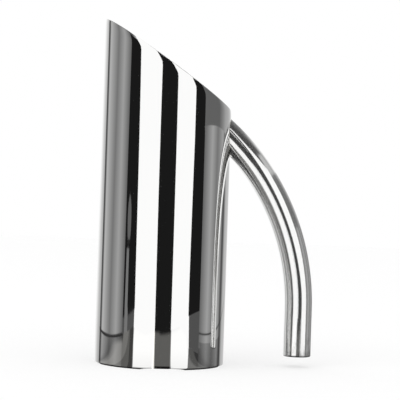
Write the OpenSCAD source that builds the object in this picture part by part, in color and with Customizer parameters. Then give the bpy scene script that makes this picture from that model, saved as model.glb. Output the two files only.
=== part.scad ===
// Cocktail pitcher: a straight steel tube with a slanted mouth and one bent tube as its handle.
// Millimetres. The origin is on the body's axis at table level, +Z is up,
// the pouring tip points to -X and the handle stands off to +X.

/* [Body] */
// Outside diameter of the body tube
body_d = 90; // [70:1:120]
// Wall of the body tube
body_wall = 1.5; // [1:0.1:3]
// Height of the pouring tip above the table
tip_h = 238.5; // [200:0.5:300]
// Slope of the mouth from the level, in degrees
mouth_slope = 34.25; // [20:0.25:40]
// Radius on the outer edge of the foot
foot_edge_r = 1; // [0.3:0.1:1.5]

/* [Lip] */
// Height of the buffed band under the lip, along the wall
lip_band_h = 5.5; // [2:0.5:10]
// Lean of the buffed band into the mouth, in degrees
lip_band_lean = 3; // [1:0.5:6]
// Height of the deburred inner edge of the lip
lip_inner_h = 0.5; // [0.2:0.1:0.8]
// Lean of the deburred inner edge, in degrees
lip_inner_lean = 30; // [15:1:40]

/* [Floor] */
// Thickness of the floor plate
floor_t = 2; // [1:0.1:4]
// Width of the flat band round the floor plate that the pitcher stands on
foot_band = 8; // [3:0.5:15]
// Rise of the pressed middle of the floor plate
dish_h = 2; // [1:0.1:4]
// Width of the sloping step between the band and the middle
dish_step = 3; // [1:0.5:6]
// Radius of the weld fillet between floor and wall
floor_weld_r = 1.5; // [0.5:0.1:3]

/* [Handle] */
// Outside diameter of the handle tube
handle_d = 19.3; // [14:0.1:26]
// Wall of the handle tube
handle_wall = 1.2; // [0.8:0.1:2.5]
// Room for the fingers between the body and the handle's straight end
finger_gap = 41.4; // [30:0.2:60]
// Distance from the low side of the lip down to the handle's upper edge
root_margin = 5.7; // [3:0.1:20]
// Length of the straight end of the handle, its cap included
tail_len = 33.4; // [20:0.2:50]
// Gap between the handle's end and the table
tail_gap = 7.6; // [4:0.2:20]
// Leg of the weld bead round the handle's root
root_weld_leg = 0.5; // [0.3:0.1:1]

/* [Handle end cap] */
// Thickness of the cap that closes the handle's end
cap_t = 2; // [1:0.1:4]
// Radius on the outer edge of the cap
cap_edge_r = 0.8; // [0.2:0.1:1.5]
// Length of the spigot that holds the cap in the tube
spigot_len = 5; // [3:0.5:12]
// Clearance of the spigot in the tube, on the radius
spigot_clearance = 0.05; // [0.02:0.01:0.2]

/* [Hidden] */

$fn = 96;

steel_bright = [0.80, 0.81, 0.82];
steel_satin = [0.66, 0.67, 0.68];
steel_weld = [0.52, 0.52, 0.52];

// How far a cut runs past the solid that it cuts
overrun = body_d;

// Body
body_r = body_d / 2;
bore_r = body_r - body_wall;
lip_mid_h = tip_h - body_r * tan(mouth_slope);
lip_low_h = tip_h - body_d * tan(mouth_slope);
foot_edge_share = 0.8;
foot_r = min(foot_edge_r, body_wall * foot_edge_share);

// Lip: the slanted ellipses where its outer and inner easing begin
buffed_ellipse = cut_ellipse(body_r, lip_band_h);
deburred_ellipse = cut_ellipse(bore_r, lip_inner_h);

// Floor
weld_r = min(floor_weld_r, foot_band / 2);
step_outer_r = bore_r - foot_band;
dish_r = step_outer_r - dish_step;

// Handle: one bend from the body's wall down to a straight vertical end that it runs into.
// The bend's radius follows from the room that it spans across and down,
// to the nearest of the round sizes that a bending tool has.
handle_r = handle_d / 2;
handle_bore_r = handle_r - handle_wall;
span_x = finger_gap + handle_r;
tail_x = body_r + span_x;
tail_top = tail_gap + tail_len;
span_z = lip_low_h - root_margin - tail_top;
bend_round = 0.1;
bend_exact_r = (span_x * span_x + span_z * span_z - handle_r * handle_r) / (2 * (span_x + handle_r));
bend_r = bend_round * round(bend_exact_r / bend_round);
bend_centre_x = tail_x - bend_r;
bend_angle = acos((body_r - handle_d - bend_centre_x) / (bend_r + handle_r));

// Handle end cap
cap_edge = min(cap_edge_r, cap_t / 2);
spigot_r = handle_bore_r - spigot_clearance;
spigot_lead = handle_wall / 2;

// The ellipse of a slanted cut through a tube of radius r, as [centre_x, centre_z, long, short]
// in the plane of symmetry of the cut: x runs down the slope and z stands square to it.
function cut_ellipse(r, drop) = [drop * sin(mouth_slope), -drop * cos(mouth_slope), r / cos(mouth_slope), r];

// A right circular cone of half-angle lean that holds the whole ellipse e.
// Its tip lies on the hyperbola that shares the ellipse's long axis,
// above the slope when side is 1 and below it when side is -1.
function focal(e) = sqrt(e[2] * e[2] - e[3] * e[3]);
function stretch(e, lean) = sqrt(pow(e[3] / sin(lean), 2) + pow(focal(e), 2)) / e[2];
function stretch_lift(e, lean) = sqrt(pow(stretch(e, lean), 2) - 1);
function cone_tip(e, lean, side) = [
    e[0] - side * focal(e) * stretch(e, lean),
    e[1] + side * e[3] * stretch_lift(e, lean)
];
function cone_tilt(e, lean) = atan(focal(e) * stretch_lift(e, lean) / (e[3] * stretch(e, lean)));

// Everything above the plane of the mouth
module above_mouth()
    translate([0, 0, lip_mid_h])
        rotate([0, mouth_slope, 0])
            translate([-overrun, -overrun, 0])
                cube([2 * overrun, 2 * overrun, tip_h]);

// The cone of half-angle lean that holds the ellipse e, long enough to take in the whole tube
module lip_cone(e, lean, side) {
    tip = cone_tip(e, lean, side);
    reach = norm([tip[0] - e[0], tip[1] - e[1]]);
    far = reach + tip_h + body_d;
    near = max(reach - body_d, 0);
    translate([0, 0, lip_mid_h])
        rotate([0, mouth_slope, 0])
            translate([tip[0], 0, tip[1]])
                rotate([0, -cone_tilt(e, lean), 0])
                    rotate([90 - side * 90, 0, 0])
                        translate([0, 0, -far])
                            cylinder(h = far - near, r1 = far * tan(lean), r2 = near * tan(lean));
}

// Half section of the tube's wall, with the rounded outer edge of the foot
module wall_section() {
    difference() {
        translate([bore_r, 0])
            square([body_wall, tip_h]);
        translate([body_r - foot_r, 0])
            square(foot_r);
    }
    translate([body_r - foot_r, foot_r])
        intersection() {
            circle(foot_r);
            translate([0, -foot_r])
                square(foot_r);
        }
}

// The tube cut off on the slant, with its lip still sharp
module cut_tube()
    difference() {
        rotate_extrude()
            wall_section();
        above_mouth();
    }

// Straight tube with a slanted mouth, its lip buffed on the outside and deburred on the inside
module body_tube() {
    color(steel_bright)
        difference() {
            intersection() {
                cut_tube();
                lip_cone(buffed_ellipse, lip_band_lean, 1);
            }
            lip_cone(deburred_ellipse, lip_inner_lean, -1);
        }
}

// Underside of the floor plate, from the middle to the wall of the tube
floor_underside = [
    [0, dish_h],
    [dish_r, dish_h],
    [step_outer_r, 0],
    [bore_r, 0]
];

// Round plate, set flush into the lower end of the tube, with its middle pressed up
module floor_plate() {
    color(steel_satin)
        rotate_extrude()
            polygon([
                for (p = floor_underside) p,
                for (i = [len(floor_underside) - 1 : -1 : 0]) floor_underside[i] + [0, floor_t]
            ]);
}

// Hollow fillet of weld in the corner of floor and wall
module floor_weld() {
    color(steel_weld)
        rotate_extrude()
            translate([bore_r - weld_r, floor_t])
                difference() {
                    square(weld_r);
                    translate([0, weld_r])
                        circle(weld_r);
                }
}

// The bend as a solid rod of the given radius, from the straight end up into the body
module bend_rod(r)
    translate([bend_centre_x, 0, tail_top])
        rotate([90, 0, 0])
            rotate_extrude(angle = bend_angle)
                translate([bend_r, 0])
                    circle(r);

// The whole handle as a solid rod of the given radius, down to its cap
module handle_rod(r) {
    bend_rod(r);
    translate([tail_x, 0, tail_gap + cap_t])
        cylinder(h = tail_len - cap_t, r = r);
}

// Bent tube, coped at the top to the round of the body
module handle_tube() {
    color(steel_bright)
        difference() {
            handle_rod(handle_r);
            handle_rod(handle_bore_r);
            cylinder(h = tip_h, r = body_r);
        }
}

// Bead of weld that follows the cope round the handle's root
module handle_weld() {
    color(steel_weld)
        difference() {
            intersection() {
                bend_rod(handle_r + root_weld_leg);
                cylinder(h = tip_h, r = body_r + root_weld_leg);
            }
            cylinder(h = tip_h, r = body_r);
            bend_rod(handle_r);
        }
}

// Half section of the end cap: a disc with a rounded lower edge, and the spigot above it
module cap_section() {
    square([handle_r - cap_edge, cap_t]);
    translate([0, cap_edge])
        square([handle_r, cap_t - cap_edge]);
    intersection() {
        translate([handle_r - cap_edge, cap_edge])
            circle(cap_edge);
        square([handle_r, cap_edge]);
    }
    translate([0, cap_t])
        square([spigot_r, spigot_len - spigot_lead]);
    translate([0, cap_t])
        square([spigot_r - spigot_lead, spigot_len]);
}

// Cap that closes the free end of the handle
module handle_end_cap() {
    color(steel_bright)
        translate([tail_x, 0, tail_gap])
            rotate_extrude()
                cap_section();
}

body_tube();
floor_plate();
floor_weld();
handle_tube();
handle_weld();
handle_end_cap();
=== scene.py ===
import math

import bmesh
import bpy
from mathutils import Matrix, Vector


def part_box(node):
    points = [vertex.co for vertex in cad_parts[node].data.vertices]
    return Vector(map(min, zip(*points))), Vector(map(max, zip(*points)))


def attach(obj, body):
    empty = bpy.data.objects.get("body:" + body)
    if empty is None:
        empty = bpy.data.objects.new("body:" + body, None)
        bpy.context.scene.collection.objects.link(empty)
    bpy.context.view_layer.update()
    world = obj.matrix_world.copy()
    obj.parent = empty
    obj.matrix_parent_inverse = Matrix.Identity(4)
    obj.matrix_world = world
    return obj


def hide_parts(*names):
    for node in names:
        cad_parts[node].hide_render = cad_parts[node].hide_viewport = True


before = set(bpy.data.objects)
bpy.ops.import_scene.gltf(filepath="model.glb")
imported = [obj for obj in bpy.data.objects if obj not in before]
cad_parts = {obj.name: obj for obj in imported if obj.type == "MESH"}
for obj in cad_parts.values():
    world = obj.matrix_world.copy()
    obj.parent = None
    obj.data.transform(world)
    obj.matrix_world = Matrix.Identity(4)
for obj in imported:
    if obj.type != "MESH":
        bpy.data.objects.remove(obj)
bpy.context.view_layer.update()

MM = 0.001

# Sizes of the pitcher's solids
body_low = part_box("body_tube")[0]
plate_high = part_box("floor_plate")[1]
cap_low, cap_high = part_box("handle_end_cap")
BODY_R = -body_low.x
BORE_R = plate_high.x
MOUTH_SLOPE = math.radians(34.25)
LIP_MID_H = 207.856 * MM
FOOT_EDGE_R = 1 * MM
FLOOR_T = 2 * MM
FLOOR_BAND_R = 35.5 * MM
FLOOR_DISH_R = 32.5 * MM
FLOOR_DISH_H = plate_high.z - FLOOR_T
FLOOR_WELD_R = 1.5 * MM
HANDLE_R = (cap_high.y - cap_low.y) / 2
HANDLE_WALL = 1.2 * MM
TAIL_X = cap_high.x - HANDLE_R
TAIL_GAP = cap_low.z
TAIL_TOP = TAIL_GAP + 33.4 * MM
BEND_R = 161 * MM
BEND_CENTRE = Vector((TAIL_X - BEND_R, 0, TAIL_TOP))
CAP_T = 2 * MM
CAP_EDGE_R = 0.8 * MM
SPIGOT_LEN = cap_high.z - cap_low.z - CAP_T
SPIGOT_R = HANDLE_R - HANDLE_WALL - 0.05 * MM

# The lip is buffed: over its last millimetres it rolls in more and more, and its edge is softly broken.
# For each point of the roll: how far in, how far below the edge, and how far it is rounded.
LIP_ROLL = ((0.002 * MM, 5.7 * MM, 1 * MM), (0.024 * MM, 3.7 * MM, 0.75 * MM),
            (0.104 * MM, 2.2 * MM, 0.65 * MM), (0.235 * MM, 0.85 * MM, 0.45 * MM))
LIP_INSET = 0.363 * MM
LIP_EDGE_R = 0.3 * MM
# Rings this close to a rounding keep the long walls beside it straight in their shading
HOLD = 0.6 * MM
# Faces that meet at less than this are shaded as one surface
SMOOTH_UP_TO = math.radians(35)


# Materials

class Wire:
    """One output of a node. Arithmetic on it adds Math nodes."""

    def __init__(self, finish, socket):
        self.finish, self.socket = finish, socket

    def __add__(self, other):
        return self.finish.maths("ADD", self, other)

    def __sub__(self, other):
        return self.finish.maths("SUBTRACT", self, other)

    def __rsub__(self, other):
        return self.finish.maths("SUBTRACT", other, self)

    def __mul__(self, other):
        return self.finish.maths("MULTIPLY", self, other)

    def __truediv__(self, other):
        return self.finish.maths("DIVIDE", self, other)

    __radd__, __rmul__ = __add__, __mul__


class Finish:
    """A material, or the world, that is built node by node."""

    def __init__(self, holder, output="OutputMaterial"):
        holder.use_nodes = True
        self.holder, self.tree = holder, holder.node_tree
        self.tree.nodes.clear()
        self.output = self.tree.nodes.new("ShaderNode" + output)

    def nodes(self, kind, sockets=None, **settings):
        """Adds a node: its settings first, then the values or wires of its sockets. Gives all its outputs."""
        made = self.tree.nodes.new("ShaderNode" + kind)
        for name, value in settings.items():
            setattr(made, name, value)
        for name, value in (sockets or {}).items():
            if isinstance(value, Wire):
                self.tree.links.new(value.socket, made.inputs[name])
            else:
                made.inputs[name].default_value = value
        return [Wire(self, socket) for socket in made.outputs]

    def node(self, kind, sockets=None, out=0, **settings):
        return self.nodes(kind, sockets, **settings)[out]

    def maths(self, operation, *values):
        return self.node("Math", dict(enumerate(values)), operation=operation)

    def rise(self, value, start, end):
        """0 at start and 1 at end, with a smooth rise between them."""
        return self.node("MapRange", {"Value": value, "From Min": start, "From Max": end},
                         interpolation_type="SMOOTHSTEP")

    def blend(self, share, first, second):
        """A colour from first to second."""
        return self.node("Mix", {0: share, 6: first, 7: second}, out=2, data_type="RGBA")

    def point(self):
        return self.node("TexCoord", out=3)

    def grain(self, point, scale, detail=3.0, roughness=0.55):
        """Noise from 0 to 1. scale is in waves per metre, one number or one for each axis."""
        if isinstance(scale, tuple):
            point, scale = self.node("Mapping", {"Vector": point, "Scale": scale}), 1.0
        return self.node("TexNoise", {
            "Vector": point, "Scale": scale, "Detail": detail, "Roughness": roughness})

    def show(self, shader):
        self.tree.links.new(shader.socket, self.output.inputs["Surface"])
        return self.holder


def grey(level, warmth=0.0):
    return (level, level * (1 - 0.25 * warmth), level * (1 - warmth), 1)


def bright_steel(name, base, roughness, haze, lines, metallic):
    """Mirror polished steel: fine buffing lines, a breath of haze, and a surface that isn't quite true."""
    finish = Finish(bpy.data.materials.new(name))
    point = finish.point()
    buffing = finish.grain(point, lines, detail=4, roughness=0.7)
    wipes = finish.grain(point, (60, 60, 240), detail=2)
    veil = finish.rise(finish.grain(point, 38), 0.5, 0.8) * wipes
    tone = finish.blend(veil * 0.35 + buffing * 0.25, base, grey(base[1] * 0.965, 0.01))
    rough = roughness + (buffing - 0.5) * haze * 0.5 + veil * haze
    relief = finish.grain(point, 16, detail=1) * 0.1 + finish.grain(point, (90, 90, 30), detail=1) * 0.012
    normal = finish.node("Bump", {"Height": relief, "Strength": 1.0, "Distance": 0.1 * MM})
    return finish.show(finish.node("BsdfPrincipled", {
        "Base Color": tone, "Metallic": metallic, "Roughness": rough, "Normal": normal}))


def satin_steel(name, base, roughness, across):
    """Brushed steel. The brush marks run round the axis, on the bore and on the flat of the floor alike."""
    finish = Finish(bpy.data.materials.new(name))
    point = finish.point()
    x, y, z = finish.nodes("SeparateXYZ", {0: point})
    radius = finish.maths("SQRT", x * x + y * y)
    turned = finish.maths("ARCTAN2", y, x)
    section = finish.node("CombineXYZ", {0: radius * across, 1: z * across, 2: turned * 0.6})
    marks = finish.grain(section, 1, detail=4, roughness=0.75)
    coarse = finish.grain(section, 0.16, detail=2)
    cloud = finish.grain(point, 30, detail=2)
    tone = finish.blend(marks * 0.5 + cloud * 0.3, base, grey(base[1] * 0.8, 0.03))
    rough = roughness + (marks - 0.5) * 0.14 + (cloud - 0.5) * 0.08
    normal = finish.node("Bump", {"Height": marks * 0.6 + coarse * 0.4, "Strength": 0.5, "Distance": 0.03 * MM})
    return finish.show(finish.node("BsdfPrincipled", {
        "Base Color": tone, "Metallic": 1.0, "Roughness": rough, "Normal": normal}))


def ground_weld(name, base, roughness):
    """Weld metal that was ground back: duller, faintly straw coloured, with fine grinding marks."""
    finish = Finish(bpy.data.materials.new(name))
    point = finish.point()
    grind = finish.grain(point, 900, roughness=0.7)
    heat = finish.grain(point, 120, detail=2)
    tone = finish.blend(heat, base, grey(base[1] * 0.7, 0.12))
    normal = finish.node("Bump", {"Height": grind, "Strength": 0.6, "Distance": 0.05 * MM})
    return finish.show(finish.node("BsdfPrincipled", {
        "Base Color": tone, "Metallic": 1.0, "Roughness": roughness + grind * 0.2, "Normal": normal}))


# Pieces

def placed(name, work, finishes):
    """The worked mesh as an object in the scene, with its finishes."""
    mesh = bpy.data.meshes.new(name)
    work.to_mesh(mesh)
    work.free()
    for finish in finishes:
        mesh.materials.append(finish)
    made = bpy.data.objects.new(name, mesh)
    bpy.context.scene.collection.objects.link(made)
    return made


def piece(name, work, finishes, node):
    """A finished piece at its place in the frame, standing for the CAD node."""
    bmesh.ops.recalc_face_normals(work, faces=work.faces)
    for face in work.faces:
        face.smooth = True
    for edge in work.edges:
        edge.smooth = edge.calc_face_angle(0) < SMOOTH_UP_TO
    made = placed(name, work, finishes)
    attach(made, "root")
    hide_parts(node)


def section(work, corners):
    """A section in the plane of x and z. A corner is x and z, and where it is rounded,
    how far along its sides and in how many steps."""
    points = [work.verts.new((corner[0], 0, corner[1])) for corner in corners]
    for first, second in zip(points, points[1:] + points[:1]):
        work.edges.new((first, second))
    for point, corner in zip(points, corners):
        if len(corner) > 2:
            bmesh.ops.bevel(work, geom=[point], offset=corner[2], segments=corner[3], profile=0.5,
                            affect="VERTICES", material=-1)


def lathe(work, steps):
    """Spins the section round the body's axis."""
    bmesh.ops.spin(work, geom=work.verts[:] + work.edges[:], cent=(0, 0, 0), axis=(0, 0, 1),
                   angle=math.tau, steps=steps, use_merge=True)
    bmesh.ops.remove_doubles(work, verts=work.verts[:], dist=1e-7)


def body_shell(outside, inside):
    """The tube is spun with a level lip, and its upper part is then sheared to the slope of the mouth."""
    work = bmesh.new()
    level = 140 * MM
    section(work, [
        (BODY_R, 0, FOOT_EDGE_R, 6),
        (BODY_R, FOOT_EDGE_R + HOLD),
        (BODY_R, level),
        (BODY_R, LIP_MID_H - LIP_ROLL[0][1] - HOLD),
        *[(BODY_R - inset, LIP_MID_H - below, rounding, 4) for inset, below, rounding in LIP_ROLL],
        (BODY_R - LIP_INSET, LIP_MID_H, LIP_EDGE_R, 6),
        (BORE_R, LIP_MID_H, LIP_EDGE_R, 5),
        (BORE_R, LIP_MID_H - LIP_EDGE_R - HOLD),
        (BORE_R, level),
        (BORE_R, HOLD),
        (BORE_R, 0, 0.15 * MM, 2),
    ])
    lathe(work, 256)
    slope = Matrix.Identity(4)
    slope[2][0] = -math.tan(MOUTH_SLOPE)
    bmesh.ops.transform(work, matrix=slope, verts=[v for v in work.verts if v.co.z > level + MM])
    for face in work.faces:
        middle = face.calc_center_median()
        if math.hypot(middle.x, middle.y) < BORE_R + 0.02 * MM:
            face.material_index = 1
    piece("body_shell", work, [outside, inside], "body_tube")


def floor_disc(finish):
    """The floor plate, with the soft bends that a press leaves round its raised middle."""
    work = bmesh.new()
    bend, soft = 2.2 * MM, 8
    section(work, [
        (0, FLOOR_DISH_H),
        (FLOOR_DISH_R, FLOOR_DISH_H, bend, soft),
        (FLOOR_BAND_R, 0, bend * 0.6, soft),
        (BORE_R, 0, 0.2 * MM, 3),
        (BORE_R, FLOOR_T),
        (FLOOR_BAND_R, FLOOR_T, bend * 0.6, soft),
        (FLOOR_DISH_R, FLOOR_DISH_H + FLOOR_T, bend, soft),
        (0, FLOOR_DISH_H + FLOOR_T),
    ])
    lathe(work, 160)
    piece("floor_disc", work, [finish], "floor_plate")


def floor_fillet(finish):
    """The ground weld in the corner of floor and wall, a hollow fillet."""
    work = bmesh.new()
    thin = 0.12 * MM
    section(work, [
        (BORE_R, FLOOR_T),
        (BORE_R, FLOOR_T + FLOOR_WELD_R),
        (BORE_R - thin, FLOOR_T + thin, FLOOR_WELD_R * 0.85, 8),
        (BORE_R - FLOOR_WELD_R, FLOOR_T),
    ])
    lathe(work, 160)
    piece("floor_fillet", work, [finish], "floor_weld")


def bend_turn(angle):
    """The turn round the bend's centre that carries a point of the handle up towards the body."""
    return Matrix.Translation(BEND_CENTRE) @ Matrix.Rotation(-angle, 4, "Y") @ Matrix.Translation(-BEND_CENTRE)


def meeting_angle(point, wall_r):
    """How far round the bend a point of the handle runs until it meets an upright wall of this radius."""
    reach = math.hypot(point.x - BEND_CENTRE.x, point.z - BEND_CENTRE.z)
    return math.acos((math.sqrt(wall_r ** 2 - point.y ** 2) - BEND_CENTRE.x) / reach)


def new_edges(geometry):
    return [part for part in geometry if isinstance(part, bmesh.types.BMEdge)]


def ring(work, radius, height, steps):
    """A level ring round the axis of the handle's straight end."""
    made = bmesh.ops.create_circle(work, segments=steps, radius=radius,
                                   matrix=Matrix.Translation((TAIL_X, 0, height)))["verts"]
    return list(dict.fromkeys(edge for vert in made for edge in vert.link_edges))


def handle_skin(work, foot):
    """One skin of the handle, from its ring at the foot up the bend, coped to end inside the body's wall."""
    swept, steps = math.radians(57), 72
    straight = bmesh.ops.extrude_edge_only(work, edges=foot)["geom"]
    top = new_edges(straight)
    top_verts = list(dict.fromkeys(vert for edge in top for vert in edge.verts))
    bmesh.ops.translate(work, verts=top_verts, vec=(0, 0, TAIL_TOP - TAIL_GAP - CAP_T))
    before = set(work.verts)
    last = bmesh.ops.spin(work, geom=top_verts + top, cent=BEND_CENTRE, axis=(0, -1, 0),
                          angle=swept, steps=steps)["geom_last"]
    for vert in set(work.verts) - before:
        turned = math.atan2(vert.co.z - BEND_CENTRE.z, vert.co.x - BEND_CENTRE.x)
        stretch = meeting_angle(vert.co, BODY_R - 0.6 * MM) / swept
        vert.co = bend_turn(turned * (stretch - 1)) @ vert.co
    return new_edges(last)


def handle_pipe(finish):
    """The bent tube with its wall. The flat rim at its foot is one ring drawn in to the next."""
    work = bmesh.new()
    outer_foot = ring(work, HANDLE_R, TAIL_GAP + CAP_T, 72)
    inner_foot = new_edges(bmesh.ops.extrude_edge_only(work, edges=outer_foot)["geom"])
    bore_share = 1 - HANDLE_WALL / HANDLE_R
    bmesh.ops.scale(work, verts=list(dict.fromkeys(vert for edge in inner_foot for vert in edge.verts)),
                    vec=(bore_share, bore_share, 1), space=Matrix.Translation((-TAIL_X, 0, 0)))
    outer_root, inner_root = handle_skin(work, outer_foot), handle_skin(work, inner_foot)
    bmesh.ops.bridge_loops(work, edges=outer_root + inner_root)
    piece("handle_pipe", work, [finish], "handle_tube")


def handle_root_bead(finish):
    """The weld round the handle's root, ground to a fine hollow fillet between the two skins."""
    work = bmesh.new()
    leg, sunk, steps = 0.3 * MM, 0.2 * MM, 6
    quarter = [math.pi / 2 * step / steps for step in range(steps + 1)]
    profile = [(leg * (1 - math.cos(a)), leg * (1 - math.sin(a))) for a in quarter]
    loops = []
    for off_handle, off_body in profile + [(leg, -sunk), (-sunk, -sunk), (-sunk, leg)]:
        loop = ring(work, HANDLE_R + off_handle, TAIL_TOP, 144)
        for vert in {vert for edge in loop for vert in edge.verts}:
            vert.co = bend_turn(meeting_angle(vert.co, BODY_R + off_body)) @ vert.co
        loops.append(loop)
    for first, second in zip(loops, loops[1:] + loops[:1]):
        bmesh.ops.bridge_loops(work, edges=first + second)
    piece("handle_root_bead", work, [finish], "handle_weld")


def handle_cap(finish):
    """The cap of the handle's free end, with its spigot up inside the tube."""
    work = bmesh.new()
    hair = 0.02 * MM
    section(work, [
        (0, 0),
        (HANDLE_R - CAP_EDGE_R - HOLD, 0),
        (HANDLE_R, 0, CAP_EDGE_R, 8),
        (HANDLE_R, CAP_EDGE_R + HOLD),
        (HANDLE_R, CAP_T - hair),
        (SPIGOT_R, CAP_T - hair),
        (SPIGOT_R, CAP_T + SPIGOT_LEN, 0.5 * MM, 2),
        (0, CAP_T + SPIGOT_LEN),
    ])
    lathe(work, 96)
    bmesh.ops.translate(work, vec=(TAIL_X, 0, TAIL_GAP), verts=work.verts[:])
    piece("handle_cap", work, [finish], "handle_end_cap")


MIRROR_TONE = (0.975, 0.975, 0.97, 1)
body_steel = bright_steel("body_mirror_steel", MIRROR_TONE, roughness=0.03, haze=0.02,
                          lines=(500, 500, 2600), metallic=1.0)
handle_steel = bright_steel("handle_mirror_steel", MIRROR_TONE, roughness=0.1, haze=0.03,
                            lines=(900, 900, 900), metallic=0.93)
bore_steel = satin_steel("bore_satin_steel", (0.72, 0.72, 0.71, 1), roughness=0.26, across=900)
floor_steel = satin_steel("floor_satin_steel", (0.68, 0.68, 0.67, 1), roughness=0.3, across=1100)
bead_steel = ground_weld("ground_weld_steel", (0.6, 0.59, 0.57, 1), roughness=0.26)
root_steel = ground_weld("buffed_weld_steel", (0.9, 0.89, 0.87, 1), roughness=0.1)

body_shell(body_steel, bore_steel)
floor_disc(floor_steel)
floor_fillet(bead_steel)
handle_pipe(handle_steel)
handle_root_bead(root_steel)
handle_cap(handle_steel)


# The studio. None of it is part of the pitcher: cards that glow with painted light, and a glossy table, which
# only the steel mirrors.

EYE_H, EYE_REACH, EYE_TURN = 103.7 * MM, 835 * MM, math.radians(2.1)


def leaving(angle):
    """Where on the body's wall, and in which direction, the view from the camera is mirrored off at this angle.
    Angles run from the camera's side towards the handle, in degrees."""
    turn = math.radians(angle)
    half = (turn + EYE_TURN) / 2
    return Vector((math.sin(half), -math.cos(half))) * BODY_R, Vector((math.sin(turn), -math.cos(turn)))


def at_reach(angle, reach):
    """The point that the body mirrors at this angle, this far from its wall."""
    start, ahead = leaving(angle)
    return start + ahead * reach


def along_side(angle, side_x):
    """The point that the body mirrors at this angle, on an upright plane beside the pitcher."""
    start, ahead = leaving(angle)
    return start + ahead * ((side_x - start.x) / ahead.x)


def behind(angle, reach):
    """The same for the room behind the pitcher. Past half a turn it is the body's left edge that mirrors it."""
    return at_reach(angle if angle <= 180 else angle - 360, reach)


def lifted(on_body, reach):
    """How high a thing stands that is this far off, if the body mirrors it this high up itself (in mm)."""
    return on_body * MM - reach / EYE_REACH * (EYE_H - on_body * MM)


def only_mirrored(thing):
    thing.visible_camera = thing.visible_diffuse = thing.visible_shadow = False
    thing.visible_transmission = thing.visible_volume_scatter = False


def shade_paint():
    """Glows with the shade that the card's own points carry: painted light for the steel to mirror."""
    finish = Finish(bpy.data.materials.new("card_shade"))
    shade = finish.node("Attribute", attribute_name="shade")
    return finish.show(finish.node("Emission", {"Color": shade, "Strength": 1.0}))


card_paint = shade_paint()


def card(name, place, rows):
    """A card whose shades run softly from point to point. A row is where it stands (a reach or a side),
    its height, its angles, and its shades, from left to right. Each is one value, or one for each column."""
    work = bmesh.new()
    columns = max(len(row[2]) for row in rows)
    bmesh.ops.create_grid(work, x_segments=columns - 1, y_segments=len(rows) - 1, size=0.5)
    layer = work.verts.layers.float_color.new("shade")
    for vert in work.verts:
        column = round((vert.co.x + 0.5) * (columns - 1))
        row = rows[round((vert.co.y + 0.5) * (len(rows) - 1))]
        where, height, angle, shade = [
            part[column] if isinstance(part, (list, tuple)) else part for part in row]
        vert[layer] = (shade, shade, shade, 1)
        vert.co = (*place(angle, where), height)
    only_mirrored(placed(name, work, [card_paint]))


# Where the far cards and the walls beside the pitcher stand
FAR, WALL_L, WALL_R = 2.96, -0.24, 0.38
REACH_L = 0.208
WALL_FOOT, WALL_R_TOP, LEDGE_LOW, LEDGE_HIGH = -0.3, 0.19, 0.335, 0.41
# The few plain shades of the studio: how brightly the cards glow, painted light in place of lit walls, flags
# and ceiling
BLACK, NEAR_BLACK, EDGE, DIM, MID = 0.01, 0.04, 0.08, 0.12, 0.18
LIGHT, PALE, GLOW, BRIGHT, WHITE = 0.35, 0.47, 0.65, 0.85, 1.0


def flag(name, edges, shade=BLACK, reach=FAR):
    """A far card of one shade. edges gives, for heights as the body mirrors them, its left and right angle."""
    card(name, at_reach, [(reach, lifted(height, reach), (left, right), shade)
                          for height, left, right in edges])


flag("black_flag_left", [(40.5, -100, -43.6), (65, -100, -44.1), (115, -100, -44.9), (160, -100, -45.75),
                         (190, -100, -46.5), (208, -100, -47.2), (330, -100, -51)])
flag("low_stand_left", [(-60, -100, -44.3), (40.5, -100, -44.3)], EDGE)
flag("black_flag_middle", [(-150, -5.9, 21.8), (28, -6.5, 21.5), (65, -7, 21.4), (115, -7.7, 21.1),
                           (160, -7.9, 20.8), (208, -7.9, 20.2), (500, -8.6, 19.1)])
flag("lamp_stand", [(-60, -63.4, -57.2), (38, -63.4, -57.2), (42, -63.6, -58.2), (80, -63.2, -58.6)],
     MID, 2.6)
flag("lamp_lens", [(86, -62, -57.4), (92, -63, -56.4), (102, -63.4, -56.2), (109, -62.8, -57),
                   (113, -61.6, -58.2), (116, -60.4, -60)], DIM, 2.5)

near_reach = [0.15, 0.098]
card("near_flag_right", at_reach,
     [(near_reach, 0.0, (55, 75), EDGE),
      (near_reach, [0.024, 0.032], (53.6, 75), EDGE),
      (near_reach, [0.0242, 0.0322], (52.6, 75), BLACK),
      ([0.142, 0.098], 0.05, (52.3, 75), BLACK),
      ([0.084, 0.056], 0.16, (53.8, 74), BLACK),
      ([0.058, 0.04], 0.215, (53.4, 72.3), BLACK)])


def wall(name, side_x, run, heights, dark_line=(), lean=0):
    """A wall beside the pitcher, glowing with painted light: one soft run of shades, the same at every height.
    run gives its angles and shades. The dark line, if given, runs from one height to another, and lean is
    how far, in degrees, the first half of the run has moved at the wall's top."""
    angles, shades = zip(*run)
    bottom, top = heights
    levels = [(bottom, shades), (top, shades)]
    if dark_line:
        soft, dark = 1 * MM, [NEAR_BLACK] * len(run)
        levels[1:1] = [(dark_line[0] - soft, shades), (dark_line[0], dark), (dark_line[1], dark), (dark_line[1] + soft, shades)]
    rows = []
    for height, level in levels:
        moved = lean * max(height, 0) / top
        leaning = [angle + moved if place <= len(run) // 2 else angle for place, angle in enumerate(angles)]
        rows.append((side_x, height, leaning, list(level)))
    card(name, along_side, rows)


# The left wall's dark line at its foot is a painted shadow where the wall meets the table.
wall("side_wall_left", WALL_L,
     ((-132, LIGHT), (-130.5, EDGE), (-126, EDGE), (-121, PALE), (-98, MID), (-82, LIGHT), (-67, DIM)),
     (WALL_FOOT, lifted(270, REACH_L)), (-1.5 * MM, 0.8 * MM), -3.5)
flag("wall_corner_left", [(-60, -69, -63), (38, -69, -63.4), (60, -69, -63.6), (84, -67, -64.6)], DIM, 2.8)

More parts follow.
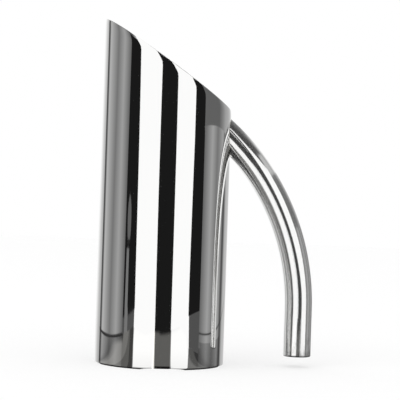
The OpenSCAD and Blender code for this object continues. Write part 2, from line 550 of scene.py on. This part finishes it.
wall("side_wall_right", WALL_R,
     ((74.3, DIM), (93, LIGHT), (107, MID), (124, LIGHT), (132.5, EDGE), (136, EDGE), (145, PALE), (168, GLOW)),
     (WALL_FOOT, WALL_R_TOP), (-9.8 * MM, -9 * MM))
wall("side_wall_right_high", WALL_R, ((72, DIM), (110, DIM), (132, LIGHT), (168, BRIGHT)),
     (WALL_R_TOP, LEDGE_LOW))
wall("side_wall_right_ledge", WALL_R, ((76, PALE), (117, PALE)), (LEDGE_LOW, LEDGE_HIGH))
back_angles = (117, 144, 168)
card("side_wall_right_back", along_side,
     [(WALL_R, LEDGE_LOW, back_angles, [LIGHT, BRIGHT, WHITE]),
      (WALL_R, 0.45, back_angles, [MID, GLOW, WHITE]),
      (WALL_R, 0.55, back_angles, [EDGE, MID, PALE]),
      (WALL_R, 0.9, back_angles, [EDGE, DIM, LIGHT])])

sweep_reach, sweep_angles = 1.2, (168, 187, 204, 220, 234)
card("back_sweep", behind,
     [(sweep_reach, -0.5, sweep_angles, [GLOW, WHITE, BRIGHT, PALE, LIGHT]),
      (sweep_reach, 1.2, sweep_angles, [BRIGHT, WHITE, WHITE, GLOW, PALE])])
ceiling_run = (41.5, 60, 100, 130, 160), [BLACK, BLACK, NEAR_BLACK, MID, GLOW]
card("dark_ceiling", at_reach, [(2.9, 2.0, *ceiling_run), (0.9, 3.4, *ceiling_run)])

# A white strip near the handle narrows the black flag that the handle mirrors.
# The body shows it white on white.
strip_y, strip_w = -0.108, 0.0092
card("near_white_strip", lambda x, y: (x, y),
     [(strip_y, height, (left, left + strip_w), WHITE)
      for height, left in [(0.026, 0.0823), (0.04, 0.082), (0.06, 0.0808), (0.08, 0.0762), (0.1, 0.0685),
                           (0.12, 0.058), (0.135, 0.0483)]])
ceiling_left_run = (-150, -138, -60, -52), [PALE, EDGE, EDGE, PALE]
card("dark_ceiling_left", at_reach, [(1.6, 0.7, *ceiling_left_run), (0.6, 2.2, *ceiling_left_run)])


def table_gloss():
    """The glossy table: a mirror at a glance, weaker from above, with a painted warm grey glow where light
    would fall on it.
    """
    finish = Finish(bpy.data.materials.new("table_gloss"))
    x, y, _ = finish.nodes("SeparateXYZ", {0: finish.point()})
    turned = finish.maths("ARCTAN2", x, 0 - y)
    away = finish.maths("SQRT", x * x + y * y)

    def strip(left, right):
        """1 on the strip of the table that the body mirrors between these angles."""
        middle, half, soft = math.radians(left + right) / 2, math.radians(right - left) / 2, math.radians(0.3)
        aside = finish.maths("DIVIDE", BODY_R * math.sin((middle - EYE_TURN) / 2), away)
        return finish.rise(finish.maths("ABSOLUTE", turned - middle + aside), half + soft, half - soft)

    def from_to(start, end):
        """0 at the first angle round the pitcher and 1 at the second."""
        return finish.rise(turned, math.radians(start), math.radians(end))

    # Where the table mirrors most: ahead of the pitcher up to a far corner, and beside it
    corner = finish.rise(away, 0.168, 0.182) * from_to(72, 66)
    ahead = from_to(-41, -39) * finish.maths("MAXIMUM", from_to(50, 46), corner)
    beside = from_to(-80, -96) + from_to(62, 76) * 0.7
    # Painted light where light would fall on the table: in front, out to its edges and up to the pitcher's foot
    lit = from_to(-83, -72) * from_to(58, 55) * (1 - from_to(44, 48) * 0.5)
    front = finish.rise(finish.maths("ABSOLUTE", turned - math.radians(5)), math.radians(17), math.radians(11))
    side = finish.maths("MAXIMUM", finish.rise(x, -0.22, -0.16), from_to(-62, -57))
    wider = from_to(4, 0) * 0.022
    # The painted glow fades towards the table's front and left, and a painted shadow fades it close to the
    # pitcher's foot
    inner = side * finish.rise(y + wider, -0.315, -0.265) * finish.rise(away - front * 0.018, 0.046, 0.051)
    # Painted light: a darker strip and a paler patch in the table's glow
    paler = from_to(-48.5, -50.5) * from_to(-74, -66)
    level = 1 - strip(-51, -44.3) * 0.55 + paler * 0.65
    glance = finish.node("Fresnel", {"IOR": 1.5})
    # Two strips darken the mirror: painted dark bands where the body mirrors the black flags' edges
    clear = (finish.maths("POWER", glance, 1.5) * (1.2 + ahead * 1.15 + beside * 0.5)
             * (1 - strip(-48, -44.2) * 0.9) * (1 - strip(19.6, 22.2) * 0.9))
    mirror = finish.node("BsdfAnisotropic", {"Color": grey(0.98), "Roughness": 0.04})
    # The table's glow is painted light, and the narrow strip adds a bright painted streak for the body to
    # mirror
    painted_glow_strength = lit * inner * level + strip(-8.4, -6.1) * 8
    own = finish.node("Emission", {"Color": grey(0.1, 0.06), "Strength": painted_glow_strength})
    dark = finish.node("BsdfDiffuse", {"Color": grey(0.0)})
    gloss = finish.node("MixShader", {0: finish.maths("MINIMUM", clear, 0.95), 1: dark, 2: mirror})
    return finish.show(finish.node("AddShader", {0: gloss, 1: own}))


def slab(name, rows, finish):
    """A level sheet of the studio at the pitcher's foot. rows are the points of its front and its back edge."""
    work = bmesh.new()
    columns = len(rows[0])
    bmesh.ops.create_grid(work, x_segments=columns - 1, y_segments=1, size=0.5)
    for vert in work.verts:
        vert.co = (*rows[vert.co.y > 0][round((vert.co.x + 0.5) * (columns - 1))], 0)
    return placed(name, work, [finish])


TABLE_R = 0.205
table_back = along_side(-127.5, WALL_L)
only_mirrored(slab("glossy_table", (((WALL_L, -0.262), (-0.1, -0.262), (-0.02, -0.325), (TABLE_R, -0.305)),
                                    (table_back, table_back * 0.42 + Vector((0.0027, -0.0318)),
                                     (0.0047, -0.0548), along_side(136, TABLE_R))), table_gloss()))


def pale_floor():
    """The pale floor: as white to the camera as the backdrop, apart from the pitcher's soft shadow."""
    finish = Finish(bpy.data.materials.new("pale_floor"))
    mottle = finish.grain(finish.point(), 60)
    matt = finish.node("BsdfDiffuse", {"Color": finish.blend(mottle, grey(0.98), grey(0.96)), "Roughness": 0.3})
    seen = finish.node("LightPath")
    glow = finish.node("Emission", {"Color": grey(1.0), "Strength": seen})
    return finish.show(finish.node("MixShader", {0: 0.6, 1: matt, 2: glow}))


floor = slab("pale_floor", (((-4, -4), (4, -4)), ((-4, 4), (4, 4))), pale_floor())
floor.visible_glossy = False


def studio_world():
    """White all round, so that a colour shows about as it is written."""
    world = bpy.data.worlds.new("studio_world")
    bpy.context.scene.world = world
    finish = Finish(world, "OutputWorld")
    finish.show(finish.node("Background", {"Color": grey(1.0), "Strength": 1.0}))


def soft_lamp():
    """A large soft lamp, high on the camera's left."""
    lamp = bpy.data.lights.new("soft_lamp", "AREA")
    lamp.shape, lamp.size, lamp.size_y, lamp.energy = "RECTANGLE", 1.2, 0.8, 3
    made = bpy.data.objects.new("soft_lamp", lamp)
    made.location = (-0.9, -1.0, 1.4)
    made.rotation_euler = (Vector((0, 0, 0.1)) - made.location).to_track_quat("-Z", "Y").to_euler()
    made.visible_glossy = False
    bpy.context.scene.collection.objects.link(made)


def photo_camera():
    """The view of the photograph: low, a little to the handle's side, and turned about its own axis."""
    eye = Vector((0.03072, -0.879713, 0.103743))
    yaw, pitch, roll = -0.006336, -0.011869, 0.0331
    ahead = Vector((math.sin(yaw) * math.cos(pitch), math.cos(yaw) * math.cos(pitch), -math.sin(pitch)))
    level = Vector((math.cos(yaw), -math.sin(yaw), 0))
    upright = level.cross(ahead)
    across = level * math.cos(roll) + upright * math.sin(roll)
    up = upright * math.cos(roll) - level * math.sin(roll)
    lens = bpy.data.cameras.new("photo_camera")
    lens.sensor_width, lens.lens = 36, 113.288
    lens.clip_start, lens.clip_end = 0.01, 50
    camera = bpy.data.objects.new("photo_camera", lens)
    turned = Matrix((across, up, -ahead)).transposed().to_4x4()
    camera.matrix_world = Matrix.Translation(eye) @ turned
    bpy.context.scene.collection.objects.link(camera)
    bpy.context.scene.camera = camera


studio_world()
soft_lamp()
photo_camera()
bpy.context.scene.view_settings.view_transform = "Standard"
